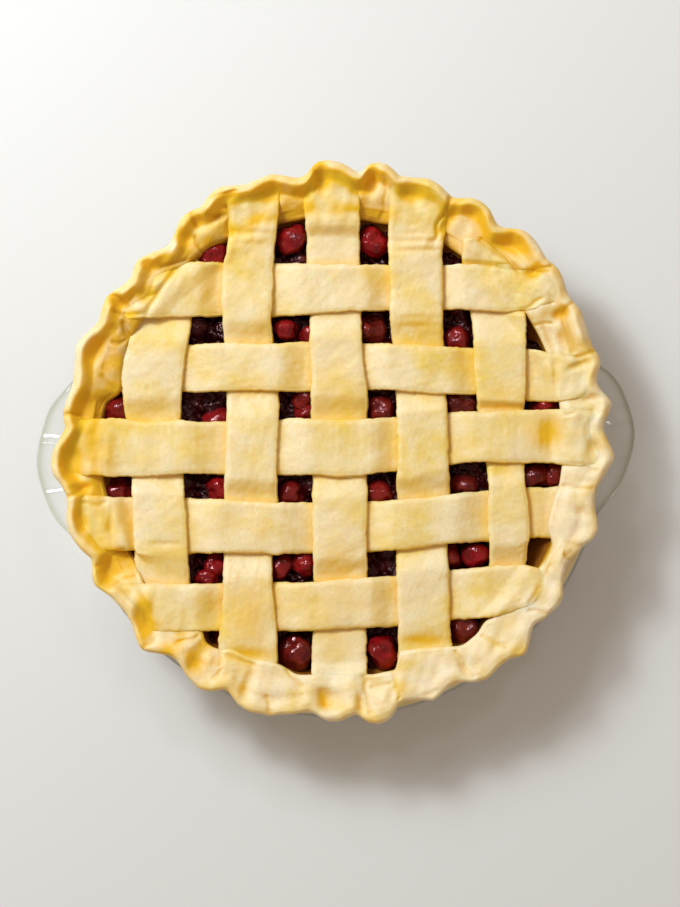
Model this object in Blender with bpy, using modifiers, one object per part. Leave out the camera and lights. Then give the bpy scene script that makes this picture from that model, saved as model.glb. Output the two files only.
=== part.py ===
"""Cherry pie with a woven lattice top, unbaked, in a clear glass pie dish with two side ears.

Metres, +Z up. The origin is the middle of the dish's foot, on the surface the dish stands on.
The ears point close to X, the strips named down run along Y and those named across run along X.
"""
import math

import bpy

mm = 0.001

# glass dish
dish_height = 45.0 * mm
foot_radius = 86.0 * mm
floor_radius = 83.0 * mm
floor_thickness = 5.0 * mm
bore_radius = 116.0 * mm          # inside edge of the flat flange, at the top of the dish
flange_radius = 125.5 * mm
flange_thickness = 4.5 * mm
wall_thickness = 4.5 * mm
ear_reach = 15.5 * mm             # how far an ear stands past the flange
ear_half_angle = math.radians(18.0)
ear_turn = math.radians(3.6)      # both ears, anticlockwise from X
dish_steps = 72

# dough
gap = 0.3 * mm                    # clearance between pieces that touch
lining_clearance = 0.45 * mm      # measured level, beside the sloping glass wall
lining_thickness = 3.5 * mm
lining_wall = 5.1 * mm            # measured level, 4 mm square to the slope
lip_radius = 106.8 * mm           # inside edge of the rolled rim
rim_radius = 128.0 * mm           # mean outline of the rolled rim
rim_height = 56.0 * mm
rim_steps = 144

# the outline's slow lobes: (waves round the rim, cosine part, sine part)
outline_lobes = (
    (1, 1.4 * mm, 2.5 * mm),
    (2, -0.4 * mm, 1.6 * mm),
    (3, -1.6 * mm, -0.9 * mm),
)

# the fluted rim: where each outward flute stands, in degrees anticlockwise from +X
flute_angles = (
    -2, 10, 20, 30, 40, 49, 60, 71, 81, 92, 103, 114, 124, 135, 146, 158, 171,
    183, 197, 210, 225, 240, 253, 268, 280, 292, 304, 314, 326, 343,
)
flute_depth = 2.2 * mm            # in and out, either side of the mean outline
flute_rise = 0.9 * mm             # the crest's up and down
pocket_depth = 2.6 * mm           # the finger mark inside each flute
pocket_radius = 117.5 * mm
pocket_reach = 8.0 * mm

# filling
filling_level = 41.3 * mm
filling_lump = 1.5 * mm
cherry_pitch = 17.0 * mm
filling_steps = 48

# lattice
strip_thickness = 3.2 * mm
weave_gap = 0.5 * mm
strip_underside = 43.45 * mm
strip_end_radius = 106.3 * mm
strip_overrun = 3.0 * mm          # past the trim circle before trimming
trim_depth = 40.0 * mm
weave_margin = 1.2 * mm           # level run past each edge of a crossing strip

# strips as (offset, slope, bow, width): centre line = offset + slope * s + bow * s * s,
# where s is the distance along the strip from the middle of the pie
down_strips = (
    (-83.8 * mm, 0.000, 1.0, 25.3 * mm),
    (-40.2 * mm, 0.000, 0.0, 24.0 * mm),
    (1.0 * mm, -0.012, 0.0, 25.2 * mm),
    (39.6 * mm, -0.020, 0.0, 24.3 * mm),
    (77.9 * mm, -0.040, 0.0, 20.5 * mm),
)
across_strips = (
    (75.3 * mm, 0.008, 0.0, 22.8 * mm),
    (38.9 * mm, -0.015, -0.2, 22.4 * mm),
    (2.6 * mm, 0.036, 0.15, 25.0 * mm),
    (-35.6 * mm, 0.030, 0.45, 24.2 * mm),
    (-71.5 * mm, 0.045, 0.4, 23.2 * mm),
)


def clear_scene():
    for item in list(bpy.data.objects):
        bpy.data.objects.remove(item, do_unlink=True)


def new_collection(name):
    collection = bpy.data.collections.new(name)
    bpy.context.scene.collection.children.link(collection)
    return collection


def move_to(item, collection):
    for other in list(item.users_collection):
        other.objects.unlink(item)
    collection.objects.link(item)


def material(name, colour, roughness, transmission=0.0):
    made = bpy.data.materials.new(name)
    made.use_nodes = True
    shader = made.node_tree.nodes["Principled BSDF"]
    shader.inputs["Base Color"].default_value = (*colour, 1.0)
    shader.inputs["Roughness"].default_value = roughness
    shader.inputs["Metallic"].default_value = 0.0
    shader.inputs["Transmission Weight"].default_value = transmission
    return made


def smoothstep(value):
    value = min(1.0, max(0.0, value))
    return value * value * (3.0 - 2.0 * value)


def add_object(collection, name, mesh, finish):
    mesh.materials.clear()
    mesh.materials.append(finish)
    mesh.shade_smooth()
    mesh.set_sharp_from_angle(angle=math.radians(40.0))
    item = bpy.data.objects.new(name, mesh)
    collection.objects.link(item)
    return item


def evaluated_mesh(item, name):
    """The mesh that an object's modifiers give, with the object itself removed."""
    graph = bpy.context.evaluated_depsgraph_get()
    mesh = bpy.data.meshes.new_from_object(item.evaluated_get(graph))
    mesh.name = name
    bpy.data.objects.remove(item, do_unlink=True)
    return mesh


def turned_mesh(name, profile, steps):
    """A closed solid turned about Z, from (radius, height) points on its upper, outer and lower side."""
    line = bpy.data.meshes.new(name + "_profile")
    points = [(radius, 0.0, height) for radius, height in profile]
    edges = [(index, index + 1) for index in range(len(points) - 1)]
    line.from_pydata(points, edges, [])
    item = bpy.data.objects.new(name + "_turning", line)
    bpy.context.scene.collection.objects.link(item)
    screw = item.modifiers.new("turn", "SCREW")
    screw.axis = "Z"
    screw.steps = steps
    screw.render_steps = steps
    screw.use_merge_vertices = True
    screw.merge_threshold = 0.00005
    return evaluated_mesh(item, name)


def reshape(mesh, rule):
    """Move every vertex by a rule on (radius, angle, height)."""
    for vertex in mesh.vertices:
        radius = math.hypot(vertex.co.x, vertex.co.y)
        angle = math.atan2(vertex.co.y, vertex.co.x)
        radius, height = rule(radius, angle, vertex.co.z)
        vertex.co = (radius * math.cos(angle), radius * math.sin(angle), height)
    mesh.update()


# ---- glass dish

def inner_wall_radius(height):
    """Radius of the dish's sloping inner wall at a height."""
    share = (height - floor_thickness) / (dish_height - floor_thickness)
    return floor_radius + share * (bore_radius - floor_radius)


def ear_shape(angle):
    """0 on the plain rim, rising to 1 over the broad middle of an ear."""
    turned = math.remainder(angle - ear_turn, math.pi)
    share = abs(turned) / ear_half_angle
    return math.sqrt(1.0 - share * share) if share < 1.0 else 0.0


def dish_rule(radius, angle, height):
    reach = smoothstep((radius - bore_radius) / (flange_radius - bore_radius))
    return radius + reach * ear_reach * ear_shape(angle), height


def glass_dish(collection):
    flange_under = dish_height - flange_thickness
    mid_height = 0.5 * dish_height
    outer_slope = (bore_radius - floor_radius) / (dish_height - floor_thickness)
    outer_mid = inner_wall_radius(mid_height) + wall_thickness
    outer_top = outer_mid + outer_slope * (flange_under - mid_height)
    profile = (
        (0.0, floor_thickness),
        (floor_radius, floor_thickness),
        (bore_radius, dish_height),
        (flange_radius - 1.5 * mm, dish_height),
        (flange_radius, dish_height - 1.5 * mm),
        (flange_radius, flange_under + 1.5 * mm),
        (flange_radius - 1.5 * mm, flange_under),
        (outer_top, flange_under),
        (outer_mid, mid_height),
        (foot_radius + 1.0 * mm, 2.0 * mm),
        (foot_radius - 1.0 * mm, 0.0),
        (0.0, 0.0),
    )
    mesh = turned_mesh("glass_dish", profile, dish_steps)
    reshape(mesh, dish_rule)
    return add_object(collection, "glass_dish", mesh, material("glass", (0.93, 0.96, 0.94), 0.04, 0.95))


# ---- bottom crust and its fluted rim

def flute_wave(angle):
    """1 in the middle of an outward flute, -1 in the notch between two."""
    degrees = math.degrees(angle)
    turn = 360.0
    stops = list(flute_angles)
    stops.append(flute_angles[0] + turn)
    while degrees < stops[0]:
        degrees += turn
    while degrees >= stops[-1]:
        degrees -= turn
    for start, end in zip(stops, stops[1:]):
        if start <= degrees < end:
            return math.cos(2.0 * math.pi * (degrees - start) / (end - start))
    return 1.0


def outline_lobe(angle):
    return sum(c * math.cos(n * angle) + s * math.sin(n * angle) for n, c, s in outline_lobes)


def strip_cover(x, y):
    """1 where a lattice strip runs on over the rim, 0 beside it."""
    best = 0.0
    for along, across, strips in ((y, x, down_strips), (x, y, across_strips)):
        for strip in strips:
            side = abs(across - centre_line(strip, along)) - 0.5 * strip[3]
            best = max(best, smoothstep(0.5 - side / (3.0 * mm)))
    return best


def rim_rule(radius, angle, height):
    """Flutes, finger marks and the buried strip ends, on the rolled rim only."""
    above_dish = smoothstep((height - dish_height - gap) / (2.0 * mm))
    outward = smoothstep((radius - lip_radius) / (rim_radius - lip_radius))
    inside = math.exp(-((radius - pocket_radius) / pocket_reach) ** 2)
    wave = flute_wave(angle)
    spread = outline_lobe(angle) + flute_depth * wave
    cover = strip_cover(radius * math.cos(angle), radius * math.sin(angle))
    lift = outward * flute_rise * wave - inside * pocket_depth * (0.5 + 0.5 * wave) + inside * cover * mm
    return radius + above_dish * outward * spread, height + above_dish * lift


def bottom_crust(collection):
    seat = dish_height + gap
    lining_floor = floor_thickness + gap + lining_thickness
    wall_top = 41.0 * mm
    wall_top_radius = inner_wall_radius(wall_top) - lining_clearance - lining_wall
    profile = (
        (0.0, lining_floor),
        (floor_radius - 4.0 * mm, lining_floor),
        (floor_radius + 1.2 * mm, lining_floor + 2.5 * mm),
        (wall_top_radius, wall_top),
        (lip_radius, 45.5 * mm),
        (lip_radius + 2.0 * mm, 48.8 * mm),
        (lip_radius + 7.0 * mm, 50.8 * mm),
        (lip_radius + 12.5 * mm, 53.2 * mm),
        (rim_radius - 4.5 * mm, rim_height - 0.6 * mm),
        (rim_radius - 2.0 * mm, rim_height),
        (rim_radius, rim_height - 2.6 * mm),
        (rim_radius - 0.6 * mm, 48.6 * mm),
        (rim_radius - 6.0 * mm, seat),
        (bore_radius - lining_clearance, seat),
        (floor_radius + 1.0 * mm - lining_clearance, floor_thickness + gap + 1.6 * mm),
        (floor_radius - 1.0 * mm, floor_thickness + gap),
        (0.0, floor_thickness + gap),
    )
    mesh = turned_mesh("bottom_crust", profile, rim_steps)
    reshape(mesh, rim_rule)
    return add_object(collection, "bottom_crust", mesh, material("rim_dough", (0.90, 0.68, 0.32), 0.62))


# ---- cherry filling

def filling_rule(radius, angle, height):
    """A lumpy top, where cherries stand out of the juice."""
    if height < filling_level - mm:
        return radius, height
    x = radius * math.cos(angle)
    y = radius * math.sin(angle)
    turn = 2.0 * math.pi / cherry_pitch
    lump = math.cos(turn * (x + 0.30 * y)) * math.cos(turn * (0.87 * y - 0.15 * x))
    edge = smoothstep((lip_radius - radius) / cherry_pitch)
    return radius, height + filling_lump * lump * edge


def cherry_filling(collection):
    lining_floor = floor_thickness + gap + lining_thickness
    side = lining_clearance + lining_wall + lining_clearance
    top_radius = inner_wall_radius(filling_level - mm) - side
    rings = 7
    profile = [(top_radius * ring / rings, filling_level) for ring in range(rings)]
    profile += [
        (top_radius - 1.5 * mm, filling_level),
        (top_radius, filling_level - mm),
        (floor_radius + 2.0 * mm - lining_clearance, lining_floor + 2.5 * mm + 2.0 * gap),
        (floor_radius - 4.5 * mm, lining_floor + gap),
        (0.0, lining_floor + gap),
    ]
    mesh = turned_mesh("cherry_filling", profile, filling_steps)
    reshape(mesh, filling_rule)
    return add_object(collection, "cherry_filling", mesh, material("cherries", (0.20, 0.012, 0.014), 0.15))


# ---- lattice

def centre_line(strip, along):
    offset, slope, bow, width = strip
    return offset + slope * along + bow * along * along


def runs_over(down_index, across_index):
    """Down strips, counted from 0 at the left, pass over every other across strip, counted from the top."""
    return (down_index + across_index) % 2 == 1


def crossings(direction, index):
    """The strips that one strip crosses, each with whether this one passes on top."""
    if direction == "down":
        return [(strip, runs_over(index, other)) for other, strip in enumerate(across_strips)]
    return [(strip, not runs_over(other, index)) for other, strip in enumerate(down_strips)]


def strip_height(along, across, direction, index):
    """Height of a strip's underside: up over the strips it crosses on top, down under the others."""
    clear = {True: 1.0, False: 1.0}
    for strip, over in crossings(direction, index):
        distance = abs(along - centre_line(strip, across)) - 0.5 * strip[3] - weave_margin
        clear[over] = min(clear[over], max(0.0, distance))
    raised = smoothstep(clear[False] / (clear[False] + clear[True]))
    return strip_underside + raised * (strip_thickness + weave_gap)


def strip_stations(direction, index, offset, half_length):
    """Places along a strip: both sides of each crossing, two in each gap, and the ends."""
    sides = []
    for strip, over in crossings(direction, index):
        middle = centre_line(strip, offset)
        reach = 0.5 * strip[3] + weave_margin
        sides.append((middle - reach, middle + reach))
    sides.sort()
    stations = [place for pair in sides for place in pair]
    for before, after in zip(sides, sides[1:]):
        run = after[0] - before[1]
        stations += [before[1] + run / 3.0, before[1] + 2.0 * run / 3.0]
    inside = [place for place in stations if abs(place) < half_length - strip_overrun]
    return sorted(inside + [-half_length, half_length])


def strip_end(across):
    return math.sqrt(strip_end_radius ** 2 - across ** 2)


def strip_trim(collection):
    """The round cutter that the strips are trimmed to."""
    bpy.ops.mesh.primitive_cylinder_add(
        vertices=rim_steps, radius=strip_end_radius, depth=trim_depth, location=(0.0, 0.0, strip_underside)
    )
    trim = bpy.context.object
    trim.name = "strip_trim"
    trim.hide_render = True
    trim.display_type = "WIRE"
    move_to(trim, collection)
    return trim


def lattice_strip(collection, direction, index, strip, trim, finish):
    """A flat grid laid along the strip's path, thickened upwards and trimmed round."""
    half_width = 0.5 * strip[3]
    half_length = strip_end(abs(strip[0]) - half_width) + strip_overrun
    stations = strip_stations(direction, index, strip[0], half_length)
    cells = len(stations) - 1
    bpy.ops.mesh.primitive_grid_add(x_subdivisions=cells, y_subdivisions=1, size=2.0)
    item = bpy.context.object
    item.name = "lattice_" + direction + "_" + str(index + 1)
    for vertex in item.data.vertices:
        along = stations[round(0.5 * (vertex.co.x + 1.0) * cells)]
        across = centre_line(strip, along) + vertex.co.y * half_width
        height = strip_height(along, across, direction, index)
        vertex.co = (across, along, height) if direction == "down" else (along, across, height)
    if direction == "down":
        item.data.flip_normals()
    item.data.materials.append(finish)
    solid = item.modifiers.new("thickness", "SOLIDIFY")
    solid.thickness = strip_thickness
    solid.offset = 1.0
    cut = item.modifiers.new("trim", "BOOLEAN")
    cut.operation = "INTERSECT"
    cut.solver = "EXACT"
    cut.object = trim
    move_to(item, collection)
    return item


def lattice(collection, cutters):
    finish = material("lattice_dough", (0.92, 0.74, 0.42), 0.6)
    trim = strip_trim(cutters)
    for index, strip in enumerate(down_strips):
        lattice_strip(collection, "down", index, strip, trim, finish)
    for index, strip in enumerate(across_strips):
        lattice_strip(collection, "across", index, strip, trim, finish)


def build():
    clear_scene()
    collection = new_collection("cherry_pie")
    glass_dish(collection)
    bottom_crust(collection)
    cherry_filling(collection)
    lattice(collection, new_collection("cutters"))


build()
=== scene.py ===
import math

import bpy
import numpy as np
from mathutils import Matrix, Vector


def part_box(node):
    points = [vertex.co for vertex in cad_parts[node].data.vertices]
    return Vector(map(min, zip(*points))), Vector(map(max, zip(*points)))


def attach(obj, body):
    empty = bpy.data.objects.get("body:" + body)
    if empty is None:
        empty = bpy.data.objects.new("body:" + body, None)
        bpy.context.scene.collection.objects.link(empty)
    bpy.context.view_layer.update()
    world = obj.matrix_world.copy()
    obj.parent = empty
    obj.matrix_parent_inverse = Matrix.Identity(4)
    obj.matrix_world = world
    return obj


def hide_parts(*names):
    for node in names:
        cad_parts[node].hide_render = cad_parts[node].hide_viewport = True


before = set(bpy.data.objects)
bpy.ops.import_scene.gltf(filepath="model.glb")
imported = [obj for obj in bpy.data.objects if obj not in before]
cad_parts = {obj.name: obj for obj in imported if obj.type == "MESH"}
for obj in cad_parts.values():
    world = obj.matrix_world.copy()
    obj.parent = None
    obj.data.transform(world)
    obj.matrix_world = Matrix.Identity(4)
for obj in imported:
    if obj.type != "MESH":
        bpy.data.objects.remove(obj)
bpy.ops.object.select_all(action="DESELECT")
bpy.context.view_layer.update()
mm = 0.001
print("frame loaded")

# Lengths below are in millimetres and angles in degrees, anticlockwise from +X seen from above.
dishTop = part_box("glass_dish")[1].z / mm
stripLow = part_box("lattice_down_3")[0].z / mm
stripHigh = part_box("lattice_down_3")[1].z / mm


# Small tools

def smoothStep(low, high, value):
    share = np.clip((value - low) / (high - low), 0.0, 1.0)
    return share * share * (3.0 - 2.0 * share)


def blendTo(first, second, share):
    return first + (second - first) * share


def hump(distance, reach):
    return np.exp(-(distance / reach) ** 2)


def softMax(first, second, softness):
    return 0.5 * (first + second + np.sqrt((first - second) ** 2 + softness * softness))


def unevenness(x, y, size, seed, waves=16):
    # soft irregular waves of about the given size, roughly -1 to 1
    draw = np.random.default_rng(seed)
    total = np.zeros_like(x)
    for wave in range(waves):
        turn = draw.uniform(0.0, 2.0 * math.pi)
        start = draw.uniform(0.0, 2.0 * math.pi)
        length = size * draw.uniform(0.7, 1.6)
        total += np.cos((x * math.cos(turn) + y * math.sin(turn)) * 2.0 * math.pi / length + start)
    return total * 1.2 / math.sqrt(waves)


def unevenSum(x, y, rows, seed=0):
    # several sizes of it together: height, size, seed
    return sum(lift * unevenness(x, y, size, seed + own) for lift, size, own in rows)


def roundTable(rows, degrees, soften=1.0):
    # values between rows of (angle, value), carried on round the full turn
    rows = sorted((angle % 360.0, value) for angle, value in rows)
    angles = np.array([row[0] for row in rows])
    values = np.array([row[1] for row in rows])
    total = 0.0
    for shift in (-1.0, -0.5, 0.0, 0.5, 1.0):
        total = total + np.interp(np.mod(degrees + shift * soften, 360.0), angles, values, period=360.0)
    return total / 5.0


def turnFrom(degrees, angle):
    # signed difference between two directions, in radians
    return np.radians(np.mod(degrees - angle + 180.0, 360.0) - 180.0)


def flatPlace(degrees, radius):
    return radius * np.cos(np.radians(degrees)), radius * np.sin(np.radians(degrees))


def roundPlace(x, y):
    return np.hypot(x, y), np.degrees(np.arctan2(y, x))


def readPoints(piece):
    points = np.empty(len(piece.data.vertices) * 3)
    piece.data.vertices.foreach_get("co", points)
    return points.reshape(-1, 3) / mm


def writePoints(piece, points):
    piece.data.vertices.foreach_set("co", (points * mm).ravel())
    piece.data.update()


def writeTone(piece, name, values):
    tone = piece.data.attributes.new(name, "FLOAT", "POINT")
    tone.data.foreach_set("value", values.astype(np.float32))


def applyModifier(piece, kind, **settings):
    made = piece.modifiers.new(kind.lower(), kind)
    for setting, value in settings.items():
        setattr(made, setting, value)
    bpy.context.view_layer.objects.active = piece
    bpy.ops.object.modifier_apply(modifier=made.name)


def startEdit(piece):
    # edit mode with what is already selected
    piece.select_set(True)
    bpy.context.view_layer.objects.active = piece
    bpy.ops.object.mode_set(mode="EDIT")


def editAll(piece):
    bpy.ops.object.select_all(action="DESELECT")
    startEdit(piece)
    bpy.ops.mesh.select_all(action="SELECT")


def leaveEdit():
    bpy.ops.object.mode_set(mode="OBJECT")
    bpy.ops.object.select_all(action="DESELECT")


def settlePlace(piece):
    # the object's place goes into its mesh
    bpy.context.view_layer.update()
    piece.data.transform(piece.matrix_world)
    piece.matrix_world.identity()


def extrudeRings(rings):
    # carries the selected face from ring to ring, each a radius and a height
    for (radiusA, heightA), (radiusB, heightB) in zip(rings, rings[1:]):
        rise = (0.0, 0.0, (heightB - heightA) * mm)
        bpy.ops.mesh.extrude_region_move(TRANSFORM_OT_translate={"value": rise})
        grow = radiusB / radiusA
        bpy.ops.transform.resize(value=(grow, grow, 1.0))


def finishPiece(piece, material, nodes):
    bpy.ops.object.select_all(action="DESELECT")
    piece.select_set(True)
    bpy.context.view_layer.objects.active = piece
    bpy.ops.object.shade_smooth()
    bpy.ops.object.select_all(action="DESELECT")
    piece.data.materials.clear()
    piece.data.materials.append(material)
    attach(piece, "root")
    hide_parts(*nodes)


def newMaterial(name):
    material = bpy.data.materials.new(name)
    material.use_nodes = True
    return material, material.node_tree.nodes["Principled BSDF"]


def addNode(material, kind, inputs=None, **settings):
    node = material.node_tree.nodes.new(kind)
    for setting, value in settings.items():
        setattr(node, setting, value)
    for socket, value in (inputs or {}).items():
        if isinstance(value, bpy.types.NodeSocket):
            material.node_tree.links.new(value, node.inputs[socket])
        else:
            node.inputs[socket].default_value = value
    return node


def link(material, source, target):
    material.node_tree.links.new(source, target)


def noise(material, scale, detail=2.0, roughness=0.5, distortion=0.0):
    place = addNode(material, "ShaderNodeTexCoord").outputs["Object"]
    return addNode(material, "ShaderNodeTexNoise", {
        "Vector": place, "Scale": scale, "Detail": detail, "Roughness": roughness,
        "Distortion": distortion,
    }).outputs["Fac"]


def ramp(material, value, *stops):
    node = addNode(material, "ShaderNodeValToRGB", {"Fac": value})
    elements = node.color_ramp.elements
    while len(elements) < len(stops):
        elements.new(0.5)
    for element, (place, colour) in zip(elements, stops):
        element.position = place
        element.color = (*colour, 1.0) if isinstance(colour, tuple) else (colour, colour, colour, 1.0)
    return node.outputs["Color"]


def mixColour(material, share, first, second):
    node = addNode(material, "ShaderNodeMix", data_type="RGBA", blend_type="MIX")
    for socket, value in (("Factor", share), ("A", first), ("B", second)):
        target = [item for item in node.inputs if item.name == socket and item.enabled][0]
        if isinstance(value, bpy.types.NodeSocket):
            link(material, value, target)
        else:
            target.default_value = (*value, 1.0) if isinstance(value, tuple) else value
    return [item for item in node.outputs if item.enabled][0]


def attribute(material, name):
    return addNode(material, "ShaderNodeAttribute", attribute_name=name).outputs["Fac"]


def mathNode(material, operation, first, second):
    return addNode(material, "ShaderNodeMath", {0: first, 1: second}, operation=operation).outputs[0]


def addBumps(material, shader, *layers):
    # each layer: height, strength, and distance in metres
    normal = None
    for height, strength, distance in layers:
        inputs = {"Height": height, "Strength": strength, "Distance": distance}
        if normal:
            inputs["Normal"] = normal
        normal = addNode(material, "ShaderNodeBump", inputs).outputs["Normal"]
    link(material, normal, shader.inputs["Normal"])


# Dough

dough = {
    "cream": (0.90, 0.72, 0.41),
    "butter": (0.87, 0.62, 0.14),
    # golden colour that the painted shade and the golden patches mix towards
    "deep": (0.89, 0.52, 0.019),
    # dark brown for juice stain and painted shade
    "stainAndShade": (0.30, 0.10, 0.006),
    # pale flour, also used for painted light
    "flourAndLight": (0.94, 0.82, 0.62),
    "speck": (0.78, 0.53, 0.17),
    "roughness": 0.52,
    "specular": 0.35,
    "subsurface": 0.34,
    "spread": (1.0, 0.55, 0.18),
    "reach": 0.0046,
    "grain": 0.26,
    "lumps": 0.20,
    "window": (-0.475, 0.489, 0.733),       # direction of the light
    # thresholds and amounts of the painted shade and light, by how the surface turns from the window
    "turned": (0.72, 0.33),
    "faced": (0.77, 0.96),
    "pale": 0.45,
    "shade": 0.50,
}


def makeDough():
    material, shader = newMaterial("rawDough")
    blotch = noise(material, 34.0, 2.0, 0.5)
    colour = ramp(material, blotch, (0.33, dough["butter"]), (0.56, dough["cream"]))
    dusted = ramp(material, noise(material, 120.0, 4.0, 0.65), (0.42, 0.0), (0.70, 0.42))
    colour = mixColour(material, dusted, colour, dough["flourAndLight"])
    speckled = ramp(material, noise(material, 620.0, 3.0, 0.6), (0.50, 0.0), (0.72, 0.34))
    colour = mixColour(material, speckled, colour, dough["speck"])
    # how golden the dough is, and how pale below zero: mostly painted shade above zero and painted light
    # below it, with some golden and pale patches
    toneShadeAndLight = attribute(material, "toneShadeAndLight")
    colour = mixColour(material, toneShadeAndLight, colour, dough["deep"])
    pale = mathNode(material, "MULTIPLY", toneShadeAndLight, -1.0)
    colour = mixColour(material, pale, colour, dough["flourAndLight"])
    # dark brown: juice stain and painted shade
    colour = mixColour(material, attribute(material, "stainAndShade"), colour, dough["stainAndShade"])
    link(material, colour, shader.inputs["Base Color"])
    shader.inputs["Roughness"].default_value = dough["roughness"]
    shader.inputs["Specular IOR Level"].default_value = dough["specular"]
    shader.inputs["Subsurface Weight"].default_value = dough["subsurface"]
    shader.inputs["Subsurface Radius"].default_value = dough["spread"]
    shader.inputs["Subsurface Scale"].default_value = dough["reach"]
    grain = noise(material, 1400.0, 3.0, 0.6)
    lumps = noise(material, 260.0, 3.0, 0.5)
    addBumps(material, shader, (grain, dough["grain"], 0.0005), (lumps, dough["lumps"], 0.0010))
    return material


def shadeAway(piece):
    # painted shade and light: golden where the dough turns from the window and paler where it faces it
    turned = np.empty(len(piece.data.vertices) * 3)
    piece.data.vertex_normals.foreach_get("vector", turned)
    facing = turned.reshape(-1, 3) @ np.array(dough["window"])
    gold = smoothStep(*dough["turned"], facing) - dough["pale"] * smoothStep(*dough["faced"], facing)
    return dough["shade"] * gold


rawDough = makeDough()


# Fluted rim of the bottom crust

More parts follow.
